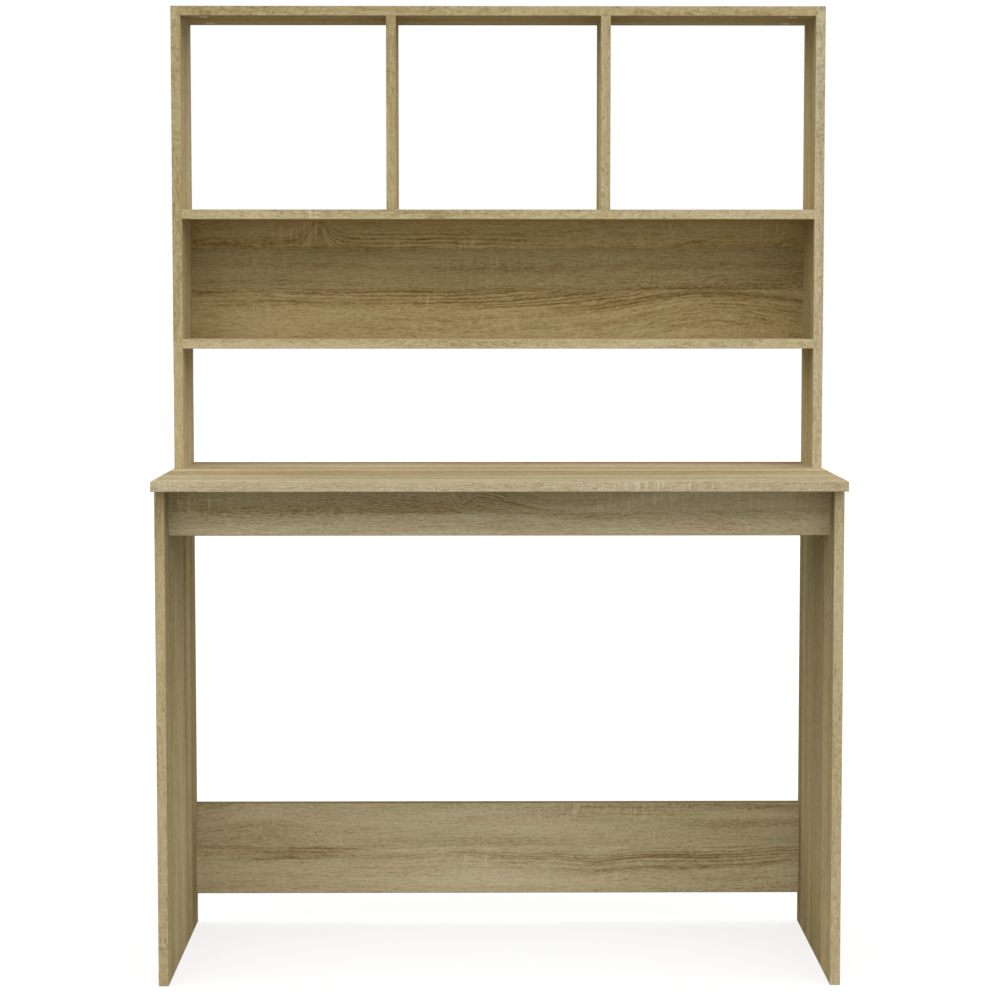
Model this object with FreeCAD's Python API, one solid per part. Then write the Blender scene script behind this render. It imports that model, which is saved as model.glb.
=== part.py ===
import FreeCAD, Part
import math
import os

# Study desk with a shelf hutch standing on its desk top, in millimetres.
# X runs to the right, Y to the back and Z up. The origin is on the floor, under the middle of the desk top.
# Melamine-faced boards with banded edges are held together by cam locks, dowels and a few screws.

Vector = FreeCAD.Vector

# Driving dimensions of the desk
WIDTH = 1020.0
DEPTH = 450.0
HEIGHT = 1480.0
DESK_HEIGHT = 760.0
BOARD = 15.0
TOP_OVERHANG = 45.0
APRON_HEIGHT = 73.0
APRON_RECESS = 50.0
STRETCHER_HEIGHT = 150.0
STRETCHER_LIFT = 50.0

# Driving dimensions of the hutch, whose two bays under the cubbies share what its height leaves
HUTCH_DEPTH = 146.0
CUBBY_HEIGHT = 300.0
CUBBY_COUNT = 3

# Edge band: a plastic strip with its two outer edges rounded
EDGE_BAND = 1.0
BAND_ROUND = 0.6
BAND_ROUND_LARGEST_SHARE = 0.9

# Cam lock: a slotted disc in a pocket of one board draws in a bolt that is screwed into the other board
CAM_SETBACK = 34.0
CAM_DIAMETER = 14.8
CAM_CLEARANCE = 0.1
CAM_FLOOR = 2.5
CAM_SINK = 0.3
CAM_THROW = 0.8
CAM_SLOT_ANGLE = 200.0
CROSS_LENGTH = 8.0
CROSS_WIDTH = 1.6
CROSS_DEPTH = 2.0
BOLT_THREAD = 5.0
BOLT_SHANK = 7.0
BOLT_NECK = 3.6
BOLT_HEAD = 6.4
BOLT_HEAD_LENGTH = 3.2
BOLT_CHAMFER = 0.5
BOLT_CLEARANCE = 0.25
BOLT_PLAY = 0.4
BOLT_FLOOR = 4.0
THREAD_CLEARANCE = 0.05

# Dowel: a beech pin, glued into the face of one board and the end of the other
DOWEL_DIAMETER = 8.0
DOWEL_LENGTH = 30.0
DOWEL_CHAMFER = 1.0
DOWEL_CLEARANCE = 0.05
DOWEL_FLOOR = 4.5

# Screw: a flat-headed furniture screw with a hexagon socket
SCREW_LENGTH = 50.0
SCREW_HEAD = 10.0
SCREW_SHANK = 7.0
SCREW_CORE = 5.0
SCREW_TIP = 3.0
SCREW_SOCKET = 4.0
SCREW_SOCKET_DEPTH = 2.5
SCREW_CLEARANCE = 0.1
SCREW_SHANK_GAP = 3.0
SCREW_SINK = 0.3

# Room past the end of a fitting in its hole, and how far a cut runs past a face
END_GAP = 0.5
OVERRUN = 1.0

# Places of the fittings, from the edges of the board that carries them or as shares of its height or length
HUTCH_CAM_INSET = 26.0
LEG_FRONT_DOWEL_INSET = 35.0
LEG_FRONT_CAM_INSET = 100.0
LEG_BACK_CAM_INSET = 45.0
LEG_BACK_DOWEL_INSET = 100.0
DIVIDER_PIN_INSET = 30.0
APRON_CAM_SHARE = 0.33
APRON_END_DOWEL_SHARE = 0.67
RAIL_CAM_SHARES = (0.2, 0.8)
APRON_DOWEL_SHARES = (-0.33, 0.0, 0.33)
BACK_DOWEL_SHARES = (-0.36, 0.0, 0.36)

# Limits that several boards share
OUTER = WIDTH / 2
INNER = OUTER - BOARD
FRONT = -DEPTH / 2
BACK = DEPTH / 2
LEG_FRONT = FRONT + TOP_OVERHANG
APRON_FRONT = LEG_FRONT + APRON_RECESS
HUTCH_FRONT = BACK - HUTCH_DEPTH
TOP_UNDERSIDE = DESK_HEIGHT - BOARD
HUTCH_TOP_UNDERSIDE = HEIGHT - BOARD
UPPER_SHELF_TOP = HUTCH_TOP_UNDERSIDE - CUBBY_HEIGHT
UPPER_SHELF_UNDERSIDE = UPPER_SHELF_TOP - BOARD
BAY_HEIGHT = (UPPER_SHELF_UNDERSIDE - DESK_HEIGHT - BOARD) / 2
LOWER_SHELF_UNDERSIDE = DESK_HEIGHT + BAY_HEIGHT
LOWER_SHELF_TOP = LOWER_SHELF_UNDERSIDE + BOARD
CUBBY_WIDTH = (2 * INNER - (CUBBY_COUNT - 1) * BOARD) / CUBBY_COUNT

SIDES = (("left", -1), ("right", 1))
AXES = "xyz"
RIGHTWARD = Vector(1, 0, 0)
BACKWARD = Vector(0, 1, 0)
UP = Vector(0, 0, 1)
DOWN = Vector(0, 0, -1)


class Board:
    """A melamine-faced board from its limits along X, Y and Z, and its banded edges, such as "-y"."""

    def __init__(self, x, y, z, banded=()):
        limits = [sorted(pair) for pair in (x, y, z)]
        self.low = [pair[0] for pair in limits]
        self.high = [pair[1] for pair in limits]
        self.banded = banded
        self.cuts = []

    def drill(self, start, direction, diameter, depth):
        """Bores a hole that starts on a face, with the cutter standing a little proud of it."""
        proud = start - direction * OVERRUN
        self.cuts.append(Part.makeCylinder(diameter / 2, depth + OVERRUN, proud, direction))

    def core(self):
        """The chipboard between the bands, with its holes."""
        low, high = list(self.low), list(self.high)
        for edge in self.banded:
            trim(low, high, edge)
        solid = block(low, high)
        if self.cuts:
            solid = solid.cut(self.cuts)
        return solid

    def edge_band(self):
        """One strip on each banded edge. A strip stops at those that are listed before it."""
        strips = []
        for number, edge in enumerate(self.banded):
            low, high = list(self.low), list(self.high)
            for earlier in self.banded[:number]:
                if earlier[1] != edge[1]:
                    trim(low, high, earlier)
            axis = AXES.index(edge[1])
            if edge[0] == "-":
                high[axis] = low[axis] + EDGE_BAND
            else:
                low[axis] = high[axis] - EDGE_BAND
            strips.append(round_outer_edges(block(low, high), low, high, edge))
        return Part.makeCompound(strips)


def trim(low, high, edge):
    """Takes one band's thickness off the limits at an edge."""
    axis = AXES.index(edge[1])
    if edge[0] == "-":
        low[axis] += EDGE_BAND
    else:
        high[axis] -= EDGE_BAND


def block(low, high):
    size = [b - a for a, b in zip(low, high)]
    return Part.makeBox(*size, Vector(*low))


def round_outer_edges(strip, low, high, edge):
    """Rounds the two long edges on the outer face of a strip."""
    across = AXES.index(edge[1])
    outer = low[across] if edge[0] == "-" else high[across]
    length = max(b - a for a, b in zip(low, high))
    chosen = []
    for candidate in strip.Edges:
        runs_along = candidate.Length > length - EDGE_BAND / 2
        on_face = abs(candidate.CenterOfMass[across] - outer) < EDGE_BAND / 2
        if runs_along and on_face:
            chosen.append(candidate)
    return strip.makeFillet(min(BAND_ROUND, EDGE_BAND * BAND_ROUND_LARGEST_SHARE), chosen)


def turned(profile):
    """A round piece about Z from the (radius, height) points of its half outline, from axis to axis."""
    points = [Vector(radius, 0, height) for radius, height in profile]
    outline = Part.makePolygon(points + points[:1])
    return Part.Face(outline).revolve(Vector(0, 0, 0), UP, 360).Solids[0]


def placed(shape, at, into, opens):
    """A copy with its Z along into and its X along opens, moved to a point."""
    piece = shape.copy()
    turn = FreeCAD.Rotation(opens, into.cross(opens), into, "ZXY")
    piece.Placement = FreeCAD.Placement(at, turn)
    return piece


def cam():
    """The disc of a cam lock about Z, centred at the bolt, which comes in along +X from the joint."""
    top = BOARD / 2 - CAM_SINK
    bottom = CAM_FLOOR + END_GAP - BOARD / 2
    disc = Part.makeCylinder(CAM_DIAMETER / 2, top - bottom, Vector(0, 0, bottom))

    neck_room = BOLT_NECK + 2 * BOLT_PLAY
    slot = Part.makeCylinder(CAM_DIAMETER, neck_room, Vector(0, 0, -neck_room / 2), UP, CAM_SLOT_ANGLE)
    slot.rotate(Vector(0, 0, 0), UP, 180 - CAM_SLOT_ANGLE / 2)

    head_room = BOLT_HEAD + 2 * BOLT_PLAY
    head_reach = math.hypot(BOLT_HEAD / 2, BOLT_HEAD_LENGTH / 2)
    pocket_radius = head_reach + BOLT_PLAY + CAM_THROW
    pocket = Part.makeCylinder(pocket_radius, head_room, Vector(0, CAM_THROW, -head_room / 2))

    entry = Part.makeCylinder(head_room / 2, CAM_DIAMETER, Vector(0, 0, 0), RIGHTWARD)
    entry.rotate(Vector(0, 0, 0), UP, 180 + CAM_SLOT_ANGLE / 2)

    cuts = [slot, pocket, entry]
    for length, width in ((CROSS_LENGTH, CROSS_WIDTH), (CROSS_WIDTH, CROSS_LENGTH)):
        corner = Vector(-length / 2, -width / 2, top - CROSS_DEPTH)
        cuts.append(Part.makeBox(length, width, CROSS_DEPTH + OVERRUN, corner))
    return disc.cut(cuts)


def cam_bolt():
    """The bolt of a cam lock along Z, with its shoulder on the joint and its head at the disc's axis."""
    thread_end = END_GAP - (BOARD - BOLT_FLOOR)
    shank_end = CAM_SETBACK - CAM_DIAMETER / 2 - CAM_CLEARANCE - END_GAP
    head_start = CAM_SETBACK - BOLT_HEAD_LENGTH / 2
    head_end = CAM_SETBACK + BOLT_HEAD_LENGTH / 2
    thread, shank, neck, head = (d / 2 for d in (BOLT_THREAD, BOLT_SHANK, BOLT_NECK, BOLT_HEAD))
    return turned([
        (0, thread_end),
        (thread - BOLT_CHAMFER, thread_end),
        (thread, thread_end + BOLT_CHAMFER),
        (thread, 0),
        (shank, 0),
        (shank, shank_end - BOLT_CHAMFER),
        (shank - BOLT_CHAMFER, shank_end),
        (neck, shank_end),
        (neck, head_start),
        (head - BOLT_CHAMFER, head_start),
        (head, head_start + BOLT_CHAMFER),
        (head, head_end - BOLT_CHAMFER),
        (head - BOLT_CHAMFER, head_end),
        (0, head_end),
    ])


def dowel():
    """A pin along Z with bevelled ends, whose short end is below the joint."""
    bottom = END_GAP - (BOARD - DOWEL_FLOOR)
    top = bottom + DOWEL_LENGTH
    radius = DOWEL_DIAMETER / 2
    return turned([
        (0, bottom),
        (radius - DOWEL_CHAMFER, bottom),
        (radius, bottom + DOWEL_CHAMFER),
        (radius, top - DOWEL_CHAMFER),
        (radius - DOWEL_CHAMFER, top),
        (0, top),
    ])


def countersunk(head, shank, core, bottom, top):
    """The half outline of a flat-headed screw or of its hole, from its head at the bottom to its tip."""
    return [
        (0, bottom),
        (head, bottom),
        (shank, bottom + head - shank),
        (shank, -SCREW_SHANK_GAP),
        (core, -SCREW_SHANK_GAP),
        (core, top - SCREW_TIP),
        (core / 2, top),
        (0, top),
    ]


def screw():
    """A screw along Z, with its head in the board below the joint."""
    bottom = SCREW_SINK - BOARD
    head, shank, core = SCREW_HEAD / 2, SCREW_SHANK / 2, SCREW_CORE / 2
    body = turned(countersunk(head, shank, core, bottom, bottom + SCREW_LENGTH))
    corner_radius = SCREW_SOCKET / 2 / math.cos(math.pi / 6)
    corners = []
    for turn in range(7):
        angle = turn * math.pi / 3
        around = Vector(math.cos(angle), math.sin(angle), 0)
        corners.append(around * corner_radius + UP * (bottom - OVERRUN))
    socket = Part.Face(Part.makePolygon(corners)).extrude(UP * (SCREW_SOCKET_DEPTH + OVERRUN))
    return body.cut(socket)


CAM = cam()
CAM_BOLT = cam_bolt()
DOWEL = dowel()
SCREW = screw()
fittings = {}


def add_fitting(node, solid):
    fittings.setdefault(node, []).append(solid)


def cam_joint(group, carrier, mate, at, into, opens):
    """Locks the end of one board, the carrier, to the face of another, the mate.
    The point is on the joint at the carrier's mid thickness. Into points into the carrier, and opens points
    out of the face that its cam is bored from."""
    axis = at + into * CAM_SETBACK
    carrier.drill(at, into, BOLT_SHANK + 2 * BOLT_CLEARANCE, CAM_SETBACK)
    carrier.drill(axis + opens * (BOARD / 2), -opens, CAM_DIAMETER + 2 * CAM_CLEARANCE, BOARD - CAM_FLOOR)
    mate.drill(at, -into, BOLT_THREAD + 2 * THREAD_CLEARANCE, BOARD - BOLT_FLOOR)
    add_fitting(group + "_cams", placed(CAM, axis, opens, into))
    add_fitting(group + "_cam_bolts", placed(CAM_BOLT, at, into, opens))


def dowel_joint(group, carrier, mate, at, into):
    """Pins the end of the carrier to the face of the mate."""
    hole = DOWEL_DIAMETER + 2 * DOWEL_CLEARANCE
    in_face = BOARD - DOWEL_FLOOR
    in_end = DOWEL_LENGTH - in_face + 2 * END_GAP
    carrier.drill(at, into, hole, in_end)
    mate.drill(at, -into, hole, in_face)
    add_fitting(group + "_dowels", placed(DOWEL, at, into, BACKWARD))


def screw_joint(group, carrier, mate, at, into):
    """Screws through the mate into the end of the carrier."""
    head, shank, core = (d / 2 + SCREW_CLEARANCE for d in (SCREW_HEAD, SCREW_SHANK, SCREW_CORE))
    through = turned(countersunk(head, shank, core, SCREW_SINK - BOARD, SCREW_LENGTH - BOARD + END_GAP))
    mouth = Part.makeCylinder(head, SCREW_SINK + OVERRUN, Vector(0, 0, -BOARD - OVERRUN))
    hole = placed(through.fuse(mouth), at, into, BACKWARD)
    carrier.cuts.append(hole)
    mate.cuts.append(hole)
    add_fitting(group + "_screws", placed(SCREW, at, into, BACKWARD))


# Boards
def desk_top():
    return Board((-OUTER, OUTER), (FRONT, BACK), (TOP_UNDERSIDE, DESK_HEIGHT), ("-y", "+y", "-x", "+x"))


def leg_panel(side):
    return Board((side * INNER, side * OUTER), (LEG_FRONT, BACK), (0, TOP_UNDERSIDE), ("-y", "+y", "-z"))


def front_apron():
    depth = (APRON_FRONT, APRON_FRONT + BOARD)
    return Board((-INNER, INNER), depth, (TOP_UNDERSIDE - APRON_HEIGHT, TOP_UNDERSIDE), ("-z",))


def rear_stretcher():
    height = (STRETCHER_LIFT, STRETCHER_LIFT + STRETCHER_HEIGHT)
    return Board((-INNER, INNER), (BACK - BOARD, BACK), height, ("-z", "+z"))


def hutch_side(side):
    height = (DESK_HEIGHT, HEIGHT)
    return Board((side * INNER, side * OUTER), (HUTCH_FRONT, BACK), height, ("-y", "+y", "+z"))


def hutch_shelf(underside):
    return Board((-INNER, INNER), (HUTCH_FRONT, BACK), (underside, underside + BOARD), ("-y", "+y"))


def hutch_back_panel():
    return Board((-INNER, INNER), (BACK - BOARD, BACK), (LOWER_SHELF_TOP, UPPER_SHELF_UNDERSIDE))


def divider(number):
    left_face = number * (CUBBY_WIDTH + BOARD) - BOARD - INNER
    height = (UPPER_SHELF_TOP, HUTCH_TOP_UNDERSIDE)
    return Board((left_face, left_face + BOARD), (HUTCH_FRONT, BACK), height, ("-y", "+y"))


def divider_names():
    """Left and right when there are two dividers, and numbers otherwise."""
    if CUBBY_COUNT == len(SIDES) + 1:
        return [name + "_divider" for name, _ in SIDES]
    return [f"divider_{number}" for number in range(1, CUBBY_COUNT)]


boards = {"desk_top": desk_top()}
for name, side in SIDES:
    boards[name + "_leg_panel"] = leg_panel(side)
    boards["hutch_" + name + "_side"] = hutch_side(side)
boards["front_apron"] = front_apron()
boards["rear_stretcher"] = rear_stretcher()
boards["hutch_top_board"] = hutch_shelf(HUTCH_TOP_UNDERSIDE)
boards["upper_shelf"] = hutch_shelf(UPPER_SHELF_UNDERSIDE)
boards["lower_shelf"] = hutch_shelf(LOWER_SHELF_UNDERSIDE)
boards["hutch_back_panel"] = hutch_back_panel()
for number, name in enumerate(divider_names(), start=1):
    boards[name] = divider(number)


# Joints between the boards
def join_leg_to_top(leg, side):
    """The leg panel's upper end is locked to the desk top's underside, with the cams on its inner face."""
    middle = side * (OUTER - BOARD / 2)
    inward = RIGHTWARD * -side
    for y in (LEG_FRONT + LEG_FRONT_CAM_INSET, BACK - LEG_BACK_CAM_INSET):
        cam_joint("leg_panel", leg, boards["desk_top"], Vector(middle, y, TOP_UNDERSIDE), DOWN, inward)
    for y in (LEG_FRONT + LEG_FRONT_DOWEL_INSET, BACK - LEG_BACK_DOWEL_INSET):
        dowel_joint("leg_panel", leg, boards["desk_top"], Vector(middle, y, TOP_UNDERSIDE), DOWN)


def join_apron_to_leg(leg, side):
    apron = boards["front_apron"]
    inward = RIGHTWARD * -side
    middle = APRON_FRONT + BOARD / 2
    cam_height = apron.low[2] + APRON_CAM_SHARE * APRON_HEIGHT
    dowel_height = apron.low[2] + APRON_END_DOWEL_SHARE * APRON_HEIGHT
    cam_joint("apron", apron, leg, Vector(side * INNER, middle, cam_height), inward, BACKWARD)
    dowel_joint("apron", apron, leg, Vector(side * INNER, middle, dowel_height), inward)


def join_apron_to_top():
    for share in APRON_DOWEL_SHARES:
        at = Vector(share * 2 * INNER, APRON_FRONT + BOARD / 2, TOP_UNDERSIDE)
        dowel_joint("apron", boards["front_apron"], boards["desk_top"], at, DOWN)


def join_rail_end(group, rail, upright, side):
    """An upright rail at the back is locked to a side board by two cams on its rear face and a dowel."""
    inward = RIGHTWARD * -side
    middle = BACK - BOARD / 2
    low, high = rail.low[2], rail.high[2]
    for share in RAIL_CAM_SHARES:
        height = low + share * (high - low)
        cam_joint(group, rail, upright, Vector(side * INNER, middle, height), inward, BACKWARD)
    dowel_joint(group, rail, upright, Vector(side * INNER, middle, (low + high) / 2), inward)


def join_across_depth(group, carrier, mate, at, into, opens):
    """Two cams near the front and back edges of the hutch, with a dowel midway between them."""
    for y in (HUTCH_FRONT + HUTCH_CAM_INSET, BACK - HUTCH_CAM_INSET):
        cam_joint(group, carrier, mate, Vector(at.x, y, at.z), into, opens)
    dowel_joint(group, carrier, mate, Vector(at.x, (HUTCH_FRONT + BACK) / 2, at.z), into)


def join_hutch_side(upright, side):
    """The hutch side stands on the desk top, and carries the top board, the shelves and the back panel."""
    inward = RIGHTWARD * -side
    foot = Vector(side * (OUTER - BOARD / 2), 0, DESK_HEIGHT)
    join_across_depth("hutch_side", upright, boards["desk_top"], foot, UP, inward)
    shelves = {"hutch_top": "hutch_top_board", "upper_shelf": "upper_shelf", "lower_shelf": "lower_shelf"}
    for group, name in shelves.items():
        shelf = boards[name]
        height = shelf.low[2] + BOARD / 2
        join_across_depth(group, shelf, upright, Vector(side * INNER, 0, height), inward, DOWN)
    join_rail_end("back_panel", boards["hutch_back_panel"], upright, side)


def join_back_panel_to_shelves():
    panel = boards["hutch_back_panel"]
    for share in BACK_DOWEL_SHARES:
        x = share * 2 * INNER
        y = BACK - BOARD / 2
        dowel_joint("back_panel", panel, boards["upper_shelf"], Vector(x, y, UPPER_SHELF_UNDERSIDE), DOWN)
        dowel_joint("back_panel", panel, boards["lower_shelf"], Vector(x, y, LOWER_SHELF_TOP), UP)


def join_divider(panel):
    """Screws come up through the upper shelf, and blind dowels go up into the hutch's top board."""
    middle = panel.low[0] + BOARD / 2
    for y in (HUTCH_FRONT + DIVIDER_PIN_INSET, BACK - DIVIDER_PIN_INSET):
        foot = Vector(middle, y, UPPER_SHELF_TOP)
        head = Vector(middle, y, HUTCH_TOP_UNDERSIDE)
        screw_joint("divider", panel, boards["upper_shelf"], foot, UP)
        dowel_joint("divider", panel, boards["hutch_top_board"], head, DOWN)


for name, side in SIDES:
    join_leg_to_top(boards[name + "_leg_panel"], side)
    join_apron_to_leg(boards[name + "_leg_panel"], side)
    join_rail_end("stretcher", boards["rear_stretcher"], boards[name + "_leg_panel"], side)
    join_hutch_side(boards["hutch_" + name + "_side"], side)
join_apron_to_top()
join_back_panel_to_shelves()
for name in divider_names():
    join_divider(boards[name])

# Files, one for each node
os.makedirs("parts", exist_ok=True)
nodes = {}
for name, board in boards.items():
    nodes[name] = board.core()
    if board.banded:
        nodes[name + "_edge_band"] = board.edge_band()
for name, solids in fittings.items():
    nodes[name] = Part.makeCompound(solids)
for name, shape in nodes.items():
    shape.exportStep(f"parts/{name}.step")
    print(f"{name}: {len(shape.Solids)} solids, {shape.Volume / 1000:.1f} cm3, valid {shape.isValid()}")
print(f"{len(nodes)} nodes, {sum(len(shape.Solids) for shape in nodes.values())} solids")
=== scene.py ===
# %% [markdown]
# This study desk is flat-pack furniture: 15 mm chipboard boards, faced with printed oak and held
# together by hidden fittings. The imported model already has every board, edge strip and fitting at its
# real size, so nothing is modelled again here. What Blender adds is the finish of each surface, the
# light and the view.

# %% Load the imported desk
import math

import bpy
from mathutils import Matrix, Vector


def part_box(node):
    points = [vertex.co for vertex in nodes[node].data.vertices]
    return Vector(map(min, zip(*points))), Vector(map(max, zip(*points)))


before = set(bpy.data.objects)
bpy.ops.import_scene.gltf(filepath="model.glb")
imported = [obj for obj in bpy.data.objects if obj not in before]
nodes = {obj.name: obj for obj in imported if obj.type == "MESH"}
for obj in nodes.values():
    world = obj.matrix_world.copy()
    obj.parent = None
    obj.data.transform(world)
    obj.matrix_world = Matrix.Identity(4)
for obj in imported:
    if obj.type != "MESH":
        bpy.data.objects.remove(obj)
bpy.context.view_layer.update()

# %% [markdown]
# Colours are written as sRGB hex values, the way a colour picker shows them, but shaders add up light,
# which is linear. One function makes that change. A second one adds any node, sets it up and links it,
# so that a material reads as a list of nodes.

# %% Colour and node helpers
def linear(hex_colour):
    """The linear red, green, blue and alpha of an sRGB hex colour."""
    channels = [int(hex_colour[i:i + 2], 16) / 255 for i in (1, 3, 5)]
    light = [c / 12.92 if c <= 0.04045 else ((c + 0.055) / 1.055) ** 2.4 for c in channels]
    return (*light, 1.0)


def add(tree, kind, inputs=None, **settings):
    """Adds a node. Each input, by name or number, takes a value, a node's first output, or a socket."""
    node = tree.nodes.new(kind)
    for name, value in settings.items():
        setattr(node, name, value)
    for socket, value in (inputs or {}).items():
        if isinstance(value, bpy.types.Node):
            value = value.outputs[0]
        if isinstance(value, bpy.types.NodeSocket):
            tree.links.new(value, node.inputs[socket])
        else:
            node.inputs[socket].default_value = value
    return node


print("mid grey #808080 is", round(linear("#808080")[0], 3), "in linear light")

# %% [markdown]
# The printed oak has some marks at known places: knots that bend the grain, dark streaks, clusters of
# saw marks. Noise can't put a mark at a chosen place, but a soft ellipse can. So a node group makes
# that ellipse once, and every mark is one use of it. The group works in millimetres along and across
# the board. A tilt of 0.1 rises 1 mm in 10. A mark ends where its plank ends, so the group also takes
# the plank's middle and half its width.

# %% The soft spot group
def new_group(name, inputs, outputs):
    """An empty node group with these sockets, and its input and output nodes."""
    tree = bpy.data.node_groups.new(name, "ShaderNodeTree")
    for socket, kind in inputs.items():
        tree.interface.new_socket(socket, in_out="INPUT", socket_type="NodeSocket" + kind)
    for socket, kind in outputs.items():
        tree.interface.new_socket(socket, in_out="OUTPUT", socket_type="NodeSocket" + kind)
    return tree, add(tree, "NodeGroupInput").outputs, add(tree, "NodeGroupOutput").inputs


spot, given, result = new_group(
    "soft_spot",
    {"Place": "Vector", "Across": "Float", "Centre": "Vector", "Per reach": "Vector", "Tilt": "Float",
     "Plank middle": "Float", "Plank half": "Float"},
    {"Share": "Float"})
away = add(spot, "ShaderNodeVectorMath", {0: given["Place"], 1: given["Centre"]}, operation="SUBTRACT")
parts = add(spot, "ShaderNodeSeparateXYZ", {0: away}).outputs
rise = add(spot, "ShaderNodeMath", {0: parts["X"], 1: given["Tilt"]}, operation="MULTIPLY")
level = add(spot, "ShaderNodeMath", {0: parts["Y"], 1: rise}, operation="SUBTRACT")
turned = add(spot, "ShaderNodeCombineXYZ", {"X": parts["X"], "Y": level})
reached = add(spot, "ShaderNodeVectorMath", {0: turned, 1: given["Per reach"]}, operation="MULTIPLY")
squared = add(spot, "ShaderNodeVectorMath", {0: reached, 1: reached}, operation="DOT_PRODUCT")
falling = add(spot, "ShaderNodeMath", {0: squared.outputs["Value"], 1: -1.0}, operation="MULTIPLY")
bell = add(spot, "ShaderNodeMath", {0: falling}, operation="EXPONENT")
in_plank = add(spot, "ShaderNodeMath",
               {0: given["Across"], 1: given["Plank middle"], 2: given["Plank half"]},
               operation="COMPARE")
share = add(spot, "ShaderNodeMath", {0: bell, 1: in_plank}, operation="MULTIPLY")
spot.links.new(share.outputs[0], result["Share"])
print("group", spot.name, "with", len(spot.nodes), "nodes")

# %% [markdown]
# The faces of the boards are melamine: paper printed with rough-sawn oak, soaked in resin and pressed
# against a matt steel plate. To the eye that is a light brown oak with wavy fibres, growth rings, dark
# pores and fine pale saw marks. One picture of oak would look the same on every board, so the print is
# drawn with layers of noise, each stretched to its own length along the grain and width across it.
# Short fibres lie over longer strands. Real fibres and pores are about 0.3 mm wide. They are drawn
# about 2 mm wide, because finer ones wouldn't show.

# %% Layers of the oak figure
# Length along the grain and width across it, both in mm, then fineness
FIGURE_LAYERS = {
    "sweep": (430.0, 75.0, 1.0),
    "ripple": (42.0, 11.0, 1.5),
    "cloud": (230.0, 38.0, 1.5),
    "band": (700.0, 15.0, 1.5),
    "ring_drift": (900.0, 24.0, 1.0),
    "ring_patch": (330.0, 34.0, 1.0),
    "tint": (150.0, 18.0, 1.0),
    "strand": (30.0, 2.2, 1.0),
    "fibre": (7.0, 1.9, 2.0),
    "pore": (8.0, 2.0, 0.0),
    "saw": (4.6, 40.0, 1.0),
    "sawn_patch": (150.0, 60.0, 1.0),
}
oak, given, result = new_group(
    "sawn_oak_figure",
    {"Place": "Vector", "Plank": "Float", "Paper": "Color", "Bend": "Float", "Waviness": "Float",
     "Fibres": "Float", "Fineness": "Float", "Ring": "Float", "Saw": "Float", "Streak": "Float"},
    {"Color": "Color", "Height": "Float", "Roughness": "Float"})


def layer(name, place):
    """One layer of the figure, from 0 to 1, at that layer's real sizes."""
    along, across, fineness = FIGURE_LAYERS[name]
    stretched = add(oak, "ShaderNodeVectorMath", {0: place, 1: (1 / along, 1 / across, 1.0)},
                    operation="MULTIPLY")
    return add(oak, "ShaderNodeTexNoise", {"Vector": stretched, "Scale": 1.0, "Detail": fineness})


longest = max(along for along, across, fineness in FIGURE_LAYERS.values())
narrowest = min(across for along, across, fineness in FIGURE_LAYERS.values())
print(len(FIGURE_LAYERS), "layers, up to", longest, "mm long and down to", narrowest, "mm wide")

# %% [markdown]
# Grain is never straight. The place across the grain is moved by slow waves and by the knots before the
# rings and fibres are drawn there, so all of them flow round a knot together. Drawing each one round
# the knot by itself would never line up. Each plank starts somewhere else on the pattern.

# %% Bent grain
# All in mm
PLANK_JUMP = (3100.0, 900.0, 57.0)
SWEEP_BEND = 30.0
RIPPLE_BEND = 6.0
jump = add(oak, "ShaderNodeVectorMath", {0: PLANK_JUMP, "Scale": given["Plank"]}, operation="SCALE")
flat = add(oak, "ShaderNodeVectorMath", {0: given["Place"], 1: jump}, operation="ADD")
bend = add(oak, "ShaderNodeMath", {0: layer("sweep", flat), 1: SWEEP_BEND}, operation="MULTIPLY")
bend = add(oak, "ShaderNodeMath", {0: layer("ripple", flat), 1: RIPPLE_BEND, 2: bend},
           operation="MULTIPLY_ADD")
bend = add(oak, "ShaderNodeMath", {0: bend, 1: given["Waviness"], 2: given["Bend"]},
           operation="MULTIPLY_ADD")
across_only = add(oak, "ShaderNodeCombineXYZ", {"Y": bend})
bent = add(oak, "ShaderNodeVectorMath", {0: flat, 1: across_only}, operation="ADD")
print("the grain wanders by up to", SWEEP_BEND, "mm")

# %% [markdown]
# Growth rings are a sine wave across the bent grain, with a slow noise that moves them closer together
# or further apart. A map range turns each layer into lines: below its first limit there is nothing, and
# past the second the line is full. Rings show in patches and round knots. Saw marks run across the
# grain, because a saw blade cuts a log that way, and they stay straight where the grain bends.

# %% Lines of the figure
# The pitch is in mm, and the drift in pitches
RING_PITCH = 6.5
RING_DRIFT = 2.0
LINE_LIMITS = {
    "ring": (-0.3, 0.8),
    "ring_patch": (0.52, 0.74),
    "pore": (0.58, 0.74),
    "saw": (0.54, 0.66),
    "sawn_patch": (0.52, 0.70),
}
drift = add(oak, "ShaderNodeMath", {0: layer("ring_drift", bent), 1: RING_DRIFT * RING_PITCH},
            operation="MULTIPLY")
bent_across = add(oak, "ShaderNodeSeparateXYZ", {0: bent}).outputs["Y"]
ring_place = add(oak, "ShaderNodeMath", {0: drift, 1: bent_across}, operation="ADD")
ring_turn = add(oak, "ShaderNodeMath", {0: ring_place, 1: 2 * math.pi / RING_PITCH}, operation="MULTIPLY")
ring_turn = add(oak, "ShaderNodeMath", {0: ring_turn, 1: given["Fineness"]}, operation="MULTIPLY")
line_sources = {
    "ring": add(oak, "ShaderNodeMath", {0: ring_turn}, operation="SINE"),
    "ring_patch": layer("ring_patch", flat),
    "pore": layer("pore", bent),
    "saw": layer("saw", given["Place"]),
    "sawn_patch": layer("sawn_patch", flat),
}
lines = {}
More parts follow.
